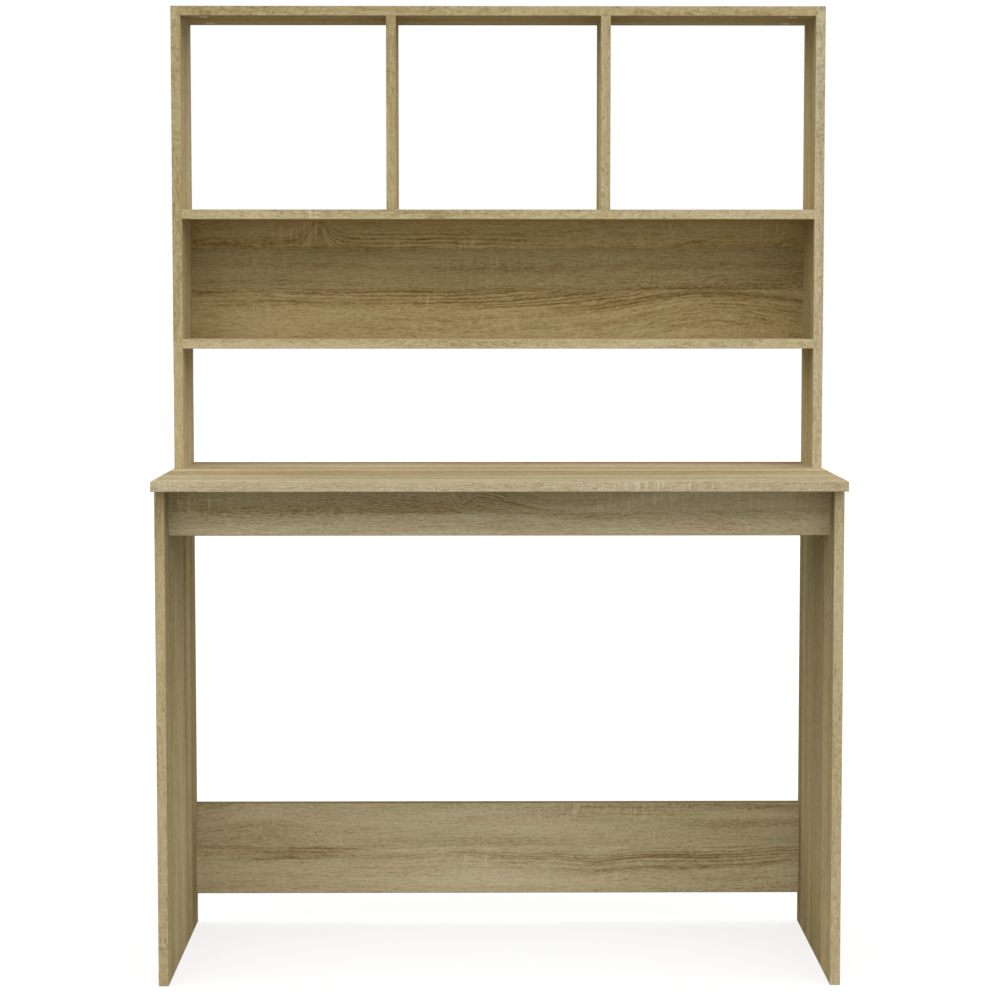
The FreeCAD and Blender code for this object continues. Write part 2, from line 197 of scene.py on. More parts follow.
for name, (start, full) in LINE_LIMITS.items():
    limits = {"Value": line_sources[name], "From Min": start, "From Max": full}
    lines[name] = add(oak, "ShaderNodeMapRange", limits, interpolation_type="SMOOTHSTEP")
print("lines:", ", ".join(lines), "and rings", RING_PITCH, "mm apart")

# %% [markdown]
# Some rings and saw marks lie loose, in patches by chance. The others are where a board's own marks put
# them, so each kind of line is multiplied with the sum of both.

# %% Rings and saw marks, loose and placed
LOOSE_RINGS = 0.4
LOOSE_SAWING = 0.4
ringed = add(oak, "ShaderNodeMath", {0: lines["ring_patch"], 1: LOOSE_RINGS, 2: given["Ring"]},
             operation="MULTIPLY_ADD")
ring = add(oak, "ShaderNodeMath", {0: ringed, 1: lines["ring"]}, operation="MULTIPLY")
sawn = add(oak, "ShaderNodeMath", {0: lines["sawn_patch"], 1: LOOSE_SAWING, 2: given["Saw"]},
           operation="MULTIPLY_ADD")
saw_mark = add(oak, "ShaderNodeMath", {0: sawn, 1: lines["saw"]}, operation="MULTIPLY")
print("loose rings at", LOOSE_RINGS, "and loose saw marks at", LOOSE_SAWING, "of a placed mark")

# %% [markdown]
# All layers are then added to one shade, from dark at 0 to bare paper at 1. Mixing colours layer by
# layer would need a colour for each, while one shade needs only a weight: above 0 a layer makes the
# print paler, below 0 it makes it darker. The fibres are the short layer and part of the strands, moved
# so that their middle is 0.

# %% Shade of the print
STRAND_SHARE = 0.7
FIBRE_MIDDLE = (1 + STRAND_SHARE) / 2
SHADE_START = 0.02
SHADE_WEIGHTS = {
    "cloud": 0.40,
    "band": 0.55,
    "fibre": 0.95,
    "ring": -0.30,
    "pore": -0.12,
    "saw": 0.26,
    "streak": -0.45,
}
fibre = add(oak, "ShaderNodeMath", {0: layer("strand", bent), 1: STRAND_SHARE, 2: layer("fibre", bent)},
            operation="MULTIPLY_ADD")
fibre = add(oak, "ShaderNodeMath", {0: fibre, 1: FIBRE_MIDDLE}, operation="SUBTRACT")
fibre = add(oak, "ShaderNodeMath", {0: fibre, 1: given["Fibres"]}, operation="MULTIPLY")
shade_sources = {
    "cloud": layer("cloud", flat),
    "band": layer("band", bent),
    "fibre": fibre,
    "ring": ring,
    "pore": lines["pore"],
    "saw": saw_mark,
    "streak": given["Streak"],
}
shade = SHADE_START
for name, weight in SHADE_WEIGHTS.items():
    shade = add(oak, "ShaderNodeMath", {0: shade_sources[name], 1: weight, 2: shade},
                operation="MULTIPLY_ADD")
print("the shade is a sum of", ", ".join(SHADE_WEIGHTS))

# %% [markdown]
# The paper is as pale as the palest fibre, and the inks only darken it. So a ramp turns the shade to
# ink, and the ink is multiplied with the colour of that plank's paper. Oak also wanders between a
# redder and a greener brown, so a slow noise tints the paper a little either way. Rings and pores are
# pressed a little into the resin, and are a little rougher there.

# %% Ink on paper, height and roughness
# A Mix node has sockets for every kind of data, and these are the numbers of those for colours
COLOUR_A, COLOUR_B, COLOUR_RESULT = 6, 7, 2
INK_DARK = "#a29370"
INK_GROUND = "#e0dbcc"
INK_NONE = "#ffffff"
GROUND_SHADE = 0.5
TINT_RED = "#fffaf9"
TINT_GREEN = "#fdfefb"
TINT_START = 0.3
TINT_FULL = 0.7
HOLLOW_FULL = 1.5
PLAIN_ROUGHNESS = 0.66
HOLLOW_ROUGHNESS = 0.76
ink = add(oak, "ShaderNodeValToRGB", {"Fac": shade})
ink.color_ramp.elements[0].color = linear(INK_DARK)
ink.color_ramp.elements[1].color = linear(INK_NONE)
ink.color_ramp.elements.new(GROUND_SHADE).color = linear(INK_GROUND)
leaning = add(oak, "ShaderNodeMapRange",
              {"Value": layer("tint", bent), "From Min": TINT_START, "From Max": TINT_FULL})
tint = add(oak, "ShaderNodeMix",
           {"Factor": leaning, COLOUR_A: linear(TINT_GREEN), COLOUR_B: linear(TINT_RED)},
           data_type="RGBA")
tinted = add(oak, "ShaderNodeVectorMath", {0: given["Paper"], 1: tint.outputs[COLOUR_RESULT]},
             operation="MULTIPLY")
printed = add(oak, "ShaderNodeVectorMath", {0: ink, 1: tinted}, operation="MULTIPLY")
hollow = add(oak, "ShaderNodeMath", {0: ring, 1: lines["pore"]}, operation="ADD")
rough = add(oak, "ShaderNodeMapRange",
            {"Value": hollow, "From Min": 0.0, "From Max": HOLLOW_FULL, "To Min": PLAIN_ROUGHNESS,
             "To Max": HOLLOW_ROUGHNESS})
for socket, node in {"Color": printed, "Height": hollow, "Roughness": rough}.items():
    oak.links.new(node.outputs[0], result[socket])
print("group", oak.name, "with", len(oak.nodes), "nodes")

# %% [markdown]
# The print runs along the length of each board. Unwrapping the boards could place it, but their own
# coordinates are enough: a vector gives the millimetres along and across the grain, from the node's
# lowest corner, and a number that differs from board to board, so that no two boards show the same
# figure. Across is the sum of the other two directions, so the pattern carries on round each edge.

# %% Place on the board
MM = 1000.0
AXES = "XYZ"
BOARD_STEP = 13.7
finished = []


def board_size(node_name):
    """A board's size along each axis, in mm, and the axis along which it is thin."""
    low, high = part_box(node_name)
    size = [(b - a) * MM for a, b in zip(low, high)]
    return size, AXES[size.index(min(size))]


def print_place(tree, node_name, grain):
    """The vector along and across the grain, then the place and the facing along each axis."""
    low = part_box(node_name)[0]
    seen = add(tree, "ShaderNodeTexCoord").outputs
    metres = add(tree, "ShaderNodeVectorMath", {0: seen["Object"], 1: tuple(low)}, operation="SUBTRACT")
    mm = add(tree, "ShaderNodeVectorMath", {0: metres, "Scale": MM}, operation="SCALE")
    at = add(tree, "ShaderNodeSeparateXYZ", {0: mm}).outputs
    plain = add(tree, "ShaderNodeVectorMath", {0: seen["Normal"]}, operation="ABSOLUTE")
    facing = add(tree, "ShaderNodeSeparateXYZ", {0: plain}).outputs
    one, two = [axis for axis in AXES if axis != grain]
    across = add(tree, "ShaderNodeMath", {0: at[one], 1: at[two]}, operation="ADD")
    number = (len(finished) + 1) * BOARD_STEP
    return add(tree, "ShaderNodeCombineXYZ", {"X": at[grain], "Y": across, "Z": number}), at, facing


desk_size, desk_thin = board_size("desk_top")
print("the desk top is", [round(length) for length in desk_size], "mm and thin along", desk_thin)

# %% [markdown]
# Where a board is cut or drilled, the chipboard under the print shows: pale brown flakes of pressed
# wood, 3 to 8 mm long. They are cells of a Voronoi texture, which gives each flake a brown of its own,
# as noise would not. On the finished desk they show only inside the holes.

# %% Chipboard
CHIP_SIZE = 4.0
CHIP_DARK = "#8a6d45"
CHIP_PALE = "#cbb083"


def pressed_chips(tree, at):
    """Flakes of chipboard, at their real size."""
    place = add(tree, "ShaderNodeCombineXYZ", {axis: at[axis] for axis in AXES})
    flakes = add(tree, "ShaderNodeTexVoronoi", {"Vector": place, "Scale": 1 / CHIP_SIZE})
    browns = add(tree, "ShaderNodeValToRGB", {"Fac": flakes.outputs["Color"]})
    browns.color_ramp.elements[0].color = linear(CHIP_DARK)
    browns.color_ramp.elements[1].color = linear(CHIP_PALE)
    return browns


print("chips of", CHIP_SIZE, "mm")

# %% [markdown]
# Melamine resin is a clear plastic with an index of refraction of 1.5. Here the pressing plate left it
# so matt that no gloss shows, even on a face seen almost edge on, so its specular level is 0. A bump
# follows the pores. Moving the mesh would show no more, because they are only some hundredths of a
# millimetre deep.

# %% Matt resin
RESIN_IOR = 1.5
RESIN_SPECULAR = 0.0
# In metres, as the Bump node wants it
PORE_DEPTH = 0.00006


def matt_resin(node_name, name, draw):
    """A material for a node, from the colour socket and the figure's outputs that draw returns."""
    material = bpy.data.materials.new(name + "_" + node_name)
    material.use_nodes = True
    tree = material.node_tree
    colour, figure = draw(tree)
    dent = add(tree, "ShaderNodeBump", {"Height": figure["Height"], "Distance": PORE_DEPTH}, invert=True)
    surface = tree.nodes["Principled BSDF"].inputs
    surface["IOR"].default_value = RESIN_IOR
    surface["Specular IOR Level"].default_value = RESIN_SPECULAR
    tree.links.new(colour, surface["Base Color"])
    tree.links.new(figure["Roughness"], surface["Roughness"])
    tree.links.new(dent.outputs[0], surface["Normal"])
    nodes[node_name].data.materials.clear()
    nodes[node_name].data.materials.append(material)
    finished.append(node_name)


print("resin, index", RESIN_IOR, "with pores", round(PORE_DEPTH * MM, 3), "mm deep")

# %% [markdown]
# A board's marks are lists of soft spots, with six numbers each. The first four are mm: the place along
# and across the board, then the reach along and across. The fifth is the tilt. The sixth is the
# strength, which for a bend is in mm too, and a streak with a strength below 0 is a pale one. One list
# can hold all the marks of a kind, because each mark belongs to the plank that holds its centre, and
# goes no further.

# %% Sum of marks
def spots_sum(tree, place, across, spots, plank_edges):
    """The sum of these soft spots at a place, each within its own plank."""
    total = 0.0
    for along, middle, reach_along, reach_across, tilt, strength in spots:
        start = max(edge for edge in plank_edges if edge <= middle)
        end = min(edge for edge in plank_edges if edge > middle)
        one = add(tree, "ShaderNodeGroup", {
            "Place": place, "Across": across, "Centre": (along, middle, 0.0),
            "Per reach": (1 / reach_along, 1 / reach_across, 0.0), "Tilt": tilt,
            "Plank middle": (start + end) / 2, "Plank half": (end - start) / 2}, node_tree=spot)
        total = add(tree, "ShaderNodeMath", {0: one, 1: strength, 2: total}, operation="MULTIPLY_ADD")
    return total


print("each mark is one use of the group", spot.name)

# %% [markdown]
# The print shows planks side by side. A brick texture makes planks of equal width only, so a colour
# ramp with hard steps holds the paper colour of each plank. The place across the board wobbles by a few
# millimetres first, because the edges of sawn planks do.

# %% Planks
# Length, width and height of the wobble in mm
WOBBLE_LONG = 85.0
WOBBLE_WIDE = 40.0
WOBBLE = 3.0
WOBBLE_FINENESS = 2.0


def plank_papers(tree, place, planks, width):
    """The wobbling place across a board, and the paper colour of the plank that is there."""
    slow = add(tree, "ShaderNodeVectorMath", {0: place, 1: (1 / WOBBLE_LONG, 1 / WOBBLE_WIDE, 1.0)},
               operation="MULTIPLY")
    wobble = add(tree, "ShaderNodeTexNoise", {"Vector": slow, "Scale": 1.0, "Detail": WOBBLE_FINENESS},
                 normalize=False)
    straight = add(tree, "ShaderNodeSeparateXYZ", {0: place}).outputs["Y"]
    across = add(tree, "ShaderNodeMath", {0: wobble, 1: WOBBLE, 2: straight}, operation="MULTIPLY_ADD")
    share = add(tree, "ShaderNodeMath", {0: across, 1: width}, operation="DIVIDE")
    papers = add(tree, "ShaderNodeValToRGB", {"Fac": share})
    papers.color_ramp.interpolation = "CONSTANT"
    stops = papers.color_ramp.elements
    stops[0].color = linear(planks[0][1])
    stops.remove(stops[1])
    for start, paper in planks[1:]:
        stops.new(start / width).color = linear(paper)
    return across, papers


print("plank edges wobble by about", WOBBLE, "mm")

# %% [markdown]
# One function puts the print of a board together. A random number from each plank's paper colour moves
# the figure, as if each plank came off another log. Rings and streaks follow the bent grain, and saw
# marks don't. A board can say how far its grain wanders (waviness), how strongly its fibres show
# (fibres) and how close its rings lie (fineness). Only its two faces are printed, and anything cut
# through them shows chipboard.

# %% Printed boards
FACE_ON = 0.7


def oak_board(node_name, grain, planks, waviness=1.0, fibres=1.0, fineness=1.0,
              bend=(), ring=(), saw=(), streak=()):
    """Printed oak on the faces of a board. planks are (start in mm across the board, paper colour)."""
    size, thin = board_size(node_name)
    width = sum(size) - size[AXES.index(grain)]
    edges = [start for start, paper in planks] + [width]

    def draw(tree):
        place, at, facing = print_place(tree, node_name, grain)
        across, papers = plank_papers(tree, place, planks, width)
        chance = add(tree, "ShaderNodeTexWhiteNoise", {"Vector": papers})
        bends = spots_sum(tree, place, across, bend, edges)
        along = add(tree, "ShaderNodeSeparateXYZ", {0: place}).outputs["X"]
        flowing = add(tree, "ShaderNodeMath", {0: across, 1: bends}, operation="ADD")
        grain_place = add(tree, "ShaderNodeCombineXYZ", {"X": along, "Y": flowing})
        figure = add(tree, "ShaderNodeGroup", {
            "Place": place, "Plank": chance, "Paper": papers, "Bend": bends,
            "Waviness": waviness, "Fibres": fibres, "Fineness": fineness,
            "Ring": spots_sum(tree, grain_place, across, ring, edges),
            "Saw": spots_sum(tree, place, across, saw, edges),
            "Streak": spots_sum(tree, grain_place, across, streak, edges)}, node_tree=oak)
        on_face = add(tree, "ShaderNodeMath", {0: facing[thin], 1: FACE_ON}, operation="GREATER_THAN")
        colour = add(tree, "ShaderNodeMix", {
            "Factor": on_face, COLOUR_A: pressed_chips(tree, at), COLOUR_B: figure.outputs["Color"]},
            data_type="RGBA")
        return colour.outputs[COLOUR_RESULT], figure.outputs

    matt_resin(node_name, "oak_print_melamine", draw)
    marks = len(bend) + len(ring) + len(saw) + len(streak)
    print(node_name, "has", len(planks), "planks along", grain, "and", marks, "marks")


printed_turn = round(math.degrees(math.acos(FACE_ON)))
print("a surface turned up to", printed_turn, "degrees away from a board's face is printed")

# %% [markdown]
# The desk top is the writing surface. It is seen almost edge on, so its planks show as long streaks,
# tan, olive and sand by turns. The last plank along the back is a dark brown that is painted shade, for
# the shade along the back edge. Marks would be lost at that slant, so the planks do all the work.

# %% Desk top
DESK_FRONT = "#c2baa2"
DESK_TAN = "#bbb093"
DESK_OLIVE = "#b6a988"
DESK_SAND = "#d1c5aa"
DESK_DULL = "#c3b697"
# Painted shade along the back edge of the desk top, drawn as its last plank
DESK_BACK_PAINTED_SHADE = "#9d8f69"
oak_board("desk_top", "X", [
    (0, DESK_FRONT), (72, DESK_TAN), (100, DESK_FRONT), (135, DESK_TAN), (205, DESK_OLIVE),
    (245, DESK_SAND), (290, DESK_DULL), (322, DESK_SAND), (400, DESK_TAN), (436, DESK_BACK_PAINTED_SHADE)])

# %% [markdown]
# The hutch's top board and its two shelves are narrow, so each shows two planks. They could have marks
# too, but their faces hardly show from the front, so chance alone places their figure.

# %% Shelves and hutch top
TAN = "#d0c29b"
OLIVE = "#c5b892"
SAND = "#d6c9a6"
oak_board("lower_shelf", "X", [(0, SAND), (70, TAN)])
oak_board("upper_shelf", "X", [(0, TAN), (90, OLIVE)])
oak_board("hutch_top_board", "X", [(0, OLIVE), (80, TAN)])

# %% [markdown]
# The back panel closes the bay between the shelves and faces the viewer, so its print shows best. It
# has three planks. The top one has a knot that the rings climb over, the middle one is greyer and
# plain, and in the bottom one the rings rise to the right in long strokes, under a dark line along the
# seam. Noise alone could not put them there, so this board has many marks.

# %% Back panel
BACK_BROWN = "#dccb9a"
BACK_GREY = "#beb088"
BACK_WARM = "#cab98f"
oak_board(
    "hutch_back_panel", "X", [(0, BACK_WARM), (76, BACK_GREY), (145, BACK_BROWN)], fibres=0.95,
    bend=[
        # The knot in the top plank, then the rise in the bottom one
        (205, 170, 13, 60, 0, -34), (205, 170, 32, 60, 0, -14),
        (860, 45, 190, 90, 0, -38)],
    ring=[
        # Top plank, then bottom plank
        (370, 158, 190, 13, 0, 1.3), (90, 151, 110, 6, 0, 0.5),
        (570, 52, 250, 15, -0.06, 1.2), (150, 66, 200, 10, 0, 0.5)],
    saw=[
        # Top plank, middle plank, then bottom plank
        (165, 172, 35, 18, 0, 1.3), (208, 170, 12, 24, 0, 1.5), (320, 150, 40, 10, 0, 0.8),
        (450, 150, 60, 10, 0, 0.7), (940, 175, 32, 18, 0, 1.2), (748, 168, 28, 20, 0, 1.3),
        (435, 116, 65, 20, 0, 0.6),
        (385, 62, 18, 12, 0, 1.2), (110, 45, 30, 20, 0, 0.7)],
    streak=[
        # Top plank, middle plank, then bottom plank
        (170, 150, 50, 5, 0, 0.35), (60, 150, 90, 5, 0, 0.45), (806, 153, 60, 2.0, 0.16, 0.5),
        (966, 154, 32, 2.2, 0.3, 0.5), (520, 160, 170, 12, 0, 0.3), (900, 160, 130, 12, 0, -0.25),
        (500, 78, 650, 2.0, 0, 0.4), (850, 80, 170, 5, 0, 0.4), (500, 105, 220, 25, 0, 0.2),
        (500, 74, 650, 2.6, 0, 0.6), (20, 73, 45, 4, 0, 0.5), (800, 66, 260, 12, 0, 0.45),
        (420, 68, 200, 8, 0, 0.3), (110, 20, 130, 26, 0, -0.35), (700, 40, 140, 8, 0, 0.3),
        (870, 37, 130, 6, 0, 0.65), (640, 9, 160, 7, 0, 0.3), (915, 29, 75, 4, 0.09, 0.45),
        (890, 14, 130, 8, 0, 0.2)])

# %% [markdown]
# The apron is the rail under the desk top, which keeps the legs square. Two planks meet half way up.
# The upper one has a swirl of close rings near the middle, and saw marks at its left end and over its
# right half. Noise seldom makes such a swirl, but a wide bend and a narrow one side by side do.

# %% Apron
APRON_PALE = "#e6dbbb"
APRON_BROWN = "#dfd2ae"
oak_board(
    "front_apron", "X", [(0, APRON_PALE), (33.5, APRON_BROWN)], fibres=0.9, fineness=1.7,
    bend=[(600, 50, 120, 60, 0, 34), (440, 50, 16, 60, 0, 16)],
    ring=[(480, 64, 65, 18, 0, 1.3), (330, 47, 130, 10, 0.05, 0.4)],
    saw=[(40, 46, 45, 16, 0, 1.7), (690, 52, 60, 16, 0, 1.1), (840, 52, 110, 16, 0, 1.0)],
    streak=[
        # Upper plank, then lower plank
        (540, 68, 60, 2.5, 0, 0.6), (90, 41, 110, 8, 0, 0.4), (330, 34, 420, 14, 0, 0.4),
        (820, 68, 170, 22, 0, -0.65), (820, 34, 170, 6, 0, 0.3),
        (330, 33, 420, 3, 0, 0.3), (330, 6, 420, 8, 0, -0.2), (810, 24, 170, 10, 0, 0.5),
        (640, 26, 100, 9, 0, 0.35), (120, 6, 130, 9, 0, -0.35), (680, 7, 150, 8, 0, -0.35)])

# %% [markdown]
# The stretcher is a second rail, low at the back. Its two planks hardly differ: pale wood with dark
# wavy lines along the lower one, and a few saw marks. Rings by chance wouldn't keep to those lines, so
# thin streaks draw them. The grain is straighter than on the other boards, and its fibres show less.

# %% Stretcher
STRETCHER_PALE = "#e0d4b2"
STRETCHER_GREY = "#dcd1b1"
oak_board(
    "rear_stretcher", "X", [(0, STRETCHER_PALE), (78, STRETCHER_GREY)], waviness=0.7, fibres=0.8,
    bend=[
        # Upper plank, then lower plank
        (110, 140, 70, 70, 0, -13),
        (653, 55, 45, 40, 0, 6), (1000, 60, 90, 60, 0, -8), (420, 66, 60, 30, 0, -5)],
    ring=[
        # Upper plank, then lower plank
        (30, 142, 60, 10, 0, 0.8),
        (780, 57, 300, 14, 0, 1.1), (180, 71, 200, 8, 0, 0.45), (80, 28, 90, 6, 0, 0.3),
        (480, 47, 160, 9, 0, 0.4)],
    saw=[
        # Upper plank, then lower plank
        (600, 132, 70, 10, 0, 0.9), (724, 136, 13, 10, 0, 1.5),
        (680, 29, 12, 10, 0, 1.6), (955, 20, 40, 14, 0, 1.3), (467, 45, 32, 9, 0, 1.1)],
    streak=[
        # Upper plank, then lower plank
        (18, 146, 30, 2.2, 0.11, 0.6), (390, 129, 190, 10, 0, -0.5), (120, 120, 130, 16, 0, -0.4),
        (35, 137, 45, 2.4, 0.067, 0.6), (880, 113, 140, 9, 0, 0.4), (690, 140, 110, 2.2, 0, 0.4),
        (940, 142, 60, 3.0, 0, 0.4),
        (820, 56, 190, 14, 0, 0.2), (50, 76, 48, 2.2, 0, 0.6), (165, 70, 80, 5.0, -0.03, 0.25),
        (140, 57, 80, 2.2, 0.01, 0.6), (880, 48, 110, 8, 0, 0.3), (90, 30, 110, 16, 0, -0.3),
        (520, 71, 130, 7, 0, -0.35), (880, 75, 140, 3, 0, 0.45), (380, 20, 170, 16, 0, -0.5),
        (610, 18, 130, 12, 0, -0.3), (370, 66, 120, 7, 0, -0.35), (110, 25, 110, 6, 0, 0.3),
        (335, 71, 60, 3.0, 0.06, -0.35), (690, 57, 70, 2.4, 0.06, 0.4), (800, 60, 110, 2.6, 0.03, 0.4),
        (740, 39, 120, 2.2, 0.01, 0.4)])

# %% [markdown]
# The legs are upright boards. On real furniture the grain follows the length of a board, so here it
# stands upright. Their inner faces are seen at a slant, where marks would be lost, but planks with
# slightly different papers show as upright bands. So each leg has six or seven planks and no marks.

# %% Legs
LEG_TAN = "#d4c6a0"
LEG_PALE = "#daceae"
LEG_OLIVE = "#c8bb96"
LEG_DARK = "#c0b38e"
LEG_DEEP = "#b0a37e"
oak_board("left_leg_panel", "Z", [
    (0, LEG_OLIVE), (88, LEG_TAN), (165, LEG_PALE), (248, LEG_OLIVE), (290, LEG_TAN), (345, LEG_DARK)])
oak_board("right_leg_panel", "Z", [
    (0, LEG_OLIVE), (32, LEG_TAN), (104, LEG_DARK), (232, LEG_OLIVE), (282, LEG_DARK), (318, LEG_OLIVE),
    (355, LEG_DEEP)])

# %% [markdown]
# The hutch's sides and the dividers between its cubbies have the same upright print. They are narrow
# and little of them shows, so two planks each are enough.

# %% Hutch sides and dividers
SIDE_PALE = "#ddd2b5"
oak_board("hutch_left_side", "Z", [(0, SAND), (80, SIDE_PALE)])
oak_board("hutch_right_side", "Z", [(0, OLIVE), (70, TAN)])
oak_board("left_divider", "Z", [(0, SAND), (90, TAN)])
oak_board("right_divider", "Z", [(0, SAND), (60, OLIVE)])

# %% [markdown]
# Each edge that shows has a 1 mm strip of plastic with the same kind of print, glued on and scraped
# flush with the faces. The strips come off rolls of their own, so many differ a little from the common
# paper colour, and two have saw marks where the real ones show them. The strip along the top of the
# stretcher is much darker, as painted shade under the desk top. A table of boards holds the papers and
# another the saw marks, so that one function can do all strips.

# %% Papers and saw marks of the edge strips
STRIP_PAPER = "#d7ccab"
STRIP_WARM = "#d0c29e"
STRIP_PALE = "#e0d7be"
# Painted shade: the stretcher's top strip is darkened for the shade under the desk top
STRIP_PAINTED_SHADE = "#918461"
STRIP_BROWN = "#cdbc97"
STRIP_DULL = "#d2c6a5"
STRIP_COOL = "#d6ccb2"
STRIP_PAPERS = {
    "desk_top": STRIP_COOL,
    "left_divider": STRIP_BROWN,
    "right_divider": STRIP_DULL,
    "hutch_top_board": STRIP_WARM,
    "hutch_left_side": STRIP_WARM,
    "hutch_right_side": STRIP_PALE,
    "left_leg_panel": STRIP_WARM,
    "right_leg_panel": STRIP_DULL,
    "rear_stretcher": STRIP_PAINTED_SHADE,
}
STRIP_SAWING = {
    "desk_top": [(720, 8, 110, 40, 0, 1.1), (20, 8, 40, 40, 0, 0.6)],
    "upper_shelf": [(206, 8, 14, 40, 0, 1.4)],
}
print(len(STRIP_PAPERS), "boards have strips of another paper, and", len(STRIP_SAWING), "have sawn ones")

# %% [markdown]
# The print on a strip is shorter and more blotchy than on the faces. It is the same figure, squeezed
# along its length and wandering more, which is less work than a second figure. Where a strip's rounded
# edge turns towards the board's faces, its colour is mixed most of the way to a dull brown. That is
# painted shade, which keeps the light on the rounding from showing as a pale line. A strip across a
# board's end runs along that end.

# %% Printed edge strips
# The numbers of a Mix node's sockets for vectors
VECTOR_A, VECTOR_B, VECTOR_RESULT = 4, 5, 1
# Painted shade on the rounded edges of the strips, where light would show them as a pale line
STRIP_ROUNDING_PAINTED_SHADE = "#a89b78"
STRIP_WAVINESS = 2.2
STRIP_FIBRES = 0.9
STRIP_FINENESS = 1.0
STRIP_SQUEEZE = 1.3
ROUNDING_SHADE_FACING = 0.35
ROUNDING_SHADE_SHARE = 0.8
STRIP_ENDING = "_edge_band"
UPRIGHT_WORDS = ("leg_panel", "side", "divider")


def oak_strip(board):
    """The oak print on the strips round one board, and painted shade on their rounded edges."""
    node_name = board + STRIP_ENDING
    grain = "Z" if any(word in board for word in UPRIGHT_WORDS) else "X"
    wide = "Z" if grain == "X" else "X"
    size, thin = board_size(board)

    def draw(tree):
        place, at, facing = print_place(tree, node_name, grain)
        end_place = add(tree, "ShaderNodeCombineXYZ", {
            "X": at["Y"], "Y": at[wide], "Z": len(finished) * BOARD_STEP})
        on_end = add(tree, "ShaderNodeMath", {0: facing[grain], 1: FACE_ON}, operation="GREATER_THAN")
        there = add(tree, "ShaderNodeMix", {"Factor": on_end, VECTOR_A: place, VECTOR_B: end_place},
                    data_type="VECTOR")
        squeezed = add(tree, "ShaderNodeVectorMath",
                       {0: there.outputs[VECTOR_RESULT], 1: (STRIP_SQUEEZE, 1.0, 1.0)},
                       operation="MULTIPLY")
        across = add(tree, "ShaderNodeSeparateXYZ", {0: place}).outputs["Y"]
        figure = add(tree, "ShaderNodeGroup", {
            "Place": squeezed, "Paper": linear(STRIP_PAPERS.get(board, STRIP_PAPER)),
            "Waviness": STRIP_WAVINESS, "Fibres": STRIP_FIBRES, "Fineness": STRIP_FINENESS,
            "Saw": spots_sum(tree, place, across, STRIP_SAWING.get(board, []), [0, sum(size)])},
            node_tree=oak)
        # Painted shade on the rounding that turns towards the board's faces
        turned = add(tree, "ShaderNodeMath", {0: facing[thin], 1: ROUNDING_SHADE_FACING},
                     operation="GREATER_THAN")
        rounding_shade = add(tree, "ShaderNodeMath", {0: turned, 1: ROUNDING_SHADE_SHARE}, operation="MULTIPLY")
        colour = add(tree, "ShaderNodeMix", {
            "Factor": rounding_shade, COLOUR_A: figure.outputs["Color"], COLOUR_B: linear(STRIP_ROUNDING_PAINTED_SHADE)},
            data_type="RGBA")
        return colour.outputs[COLOUR_RESULT], figure.outputs

    matt_resin(node_name, "oak_print_edge_strip", draw)


strips = [name for name in sorted(nodes) if name.endswith(STRIP_ENDING)]
for name in strips:
    oak_strip(name.removesuffix(STRIP_ENDING))
print(len(strips), "boards have edge strips")

# %% [markdown]
# Cam discs are die-cast zinc, a little grainy from the mould. Their beige tone is a painted reflection
# of the oak round them. Bolts and screws are steel with a bright zinc plating. Dowels are beech, turned
# on a lathe. Only the cams show, as small spots on the inner faces and at the back, so one recipe does
# for all three: a fine mottle between two tones, with sizes and gloss of their own.

# %% Cams, bolts, screws and dowels
MOTTLE_FINENESS = 3.0
ROUGHNESS_SPREAD = 0.08


def fitting_finish(name, dark, pale, mottle_mm, metallic, roughness):
    """A mottled finish for small fittings."""
    material = bpy.data.materials.new(name)
    material.use_nodes = True
    tree = material.node_tree
    place = add(tree, "ShaderNodeTexCoord").outputs["Object"]
    mottle = add(tree, "ShaderNodeTexNoise",
                 {"Vector": place, "Scale": MM / mottle_mm, "Detail": MOTTLE_FINENESS})
    tones = add(tree, "ShaderNodeValToRGB", {"Fac": mottle})
    tones.color_ramp.elements[0].color = linear(dark)
    tones.color_ramp.elements[1].color = linear(pale)
    rough = add(tree, "ShaderNodeMapRange", {
        "Value": mottle, "To Min": roughness - ROUGHNESS_SPREAD, "To Max": roughness + ROUGHNESS_SPREAD})
    surface = tree.nodes["Principled BSDF"].inputs
    surface["Metallic"].default_value = metallic
    tree.links.new(tones.outputs["Color"], surface["Base Color"])
    tree.links.new(rough.outputs[0], surface["Roughness"])
    return material


fittings = {
    # The cams' beige tones are a painted reflection of the oak round them
    "_cams": fitting_finish(
        "die_cast_zinc", dark="#95896b", pale="#b9ab84", mottle_mm=1.5, metallic=1.0, roughness=0.5),
    "_cam_bolts": fitting_finish(
        "zinc_plated_steel", dark="#a9aaa6", pale="#cfcfca", mottle_mm=1.0, metallic=1.0, roughness=0.3),
    "_dowels": fitting_finish(
        "turned_beech", dark="#b28f62", pale="#d3b183", mottle_mm=2.0, metallic=0.0, roughness=0.6),
}
fittings["_screws"] = fittings["_cam_bolts"]
for ending, finish in fittings.items():
    for name in [name for name in nodes if name.endswith(ending)]:
        nodes[name].data.materials.clear()
        nodes[name].data.materials.append(finish)
        finished.append(name)
print(len(finished), "of", len(nodes), "nodes are finished")

# %% [markdown]
# The desk stands on a plain pale floor. A floor that is white all through would throw too much light up
# under the desk, so it is grey paint for the light that bounces off it. The camera sees it as white,
# with a faint shadow left in it, because for the camera the floor mixes a white glow with white paint.

# %% Floor
FLOOR_REACH = 30.0
FLOOR_GREY = "#8c8c8c"
WHITE = "#ffffff"
WHITE_GLOW = 1.0
GLOW_SHARE = 0.75


def seen_as_backdrop(tree):
    """1 for the rays that show a backdrop: from the camera, in a reflection or through glass."""
    path = add(tree, "ShaderNodeLightPath").outputs
    seen = add(tree, "ShaderNodeMath", {0: path["Is Camera Ray"], 1: path["Is Glossy Ray"]},
               operation="MAXIMUM")
    return add(tree, "ShaderNodeMath", {0: seen, 1: path["Is Transmission Ray"]}, operation="MAXIMUM")


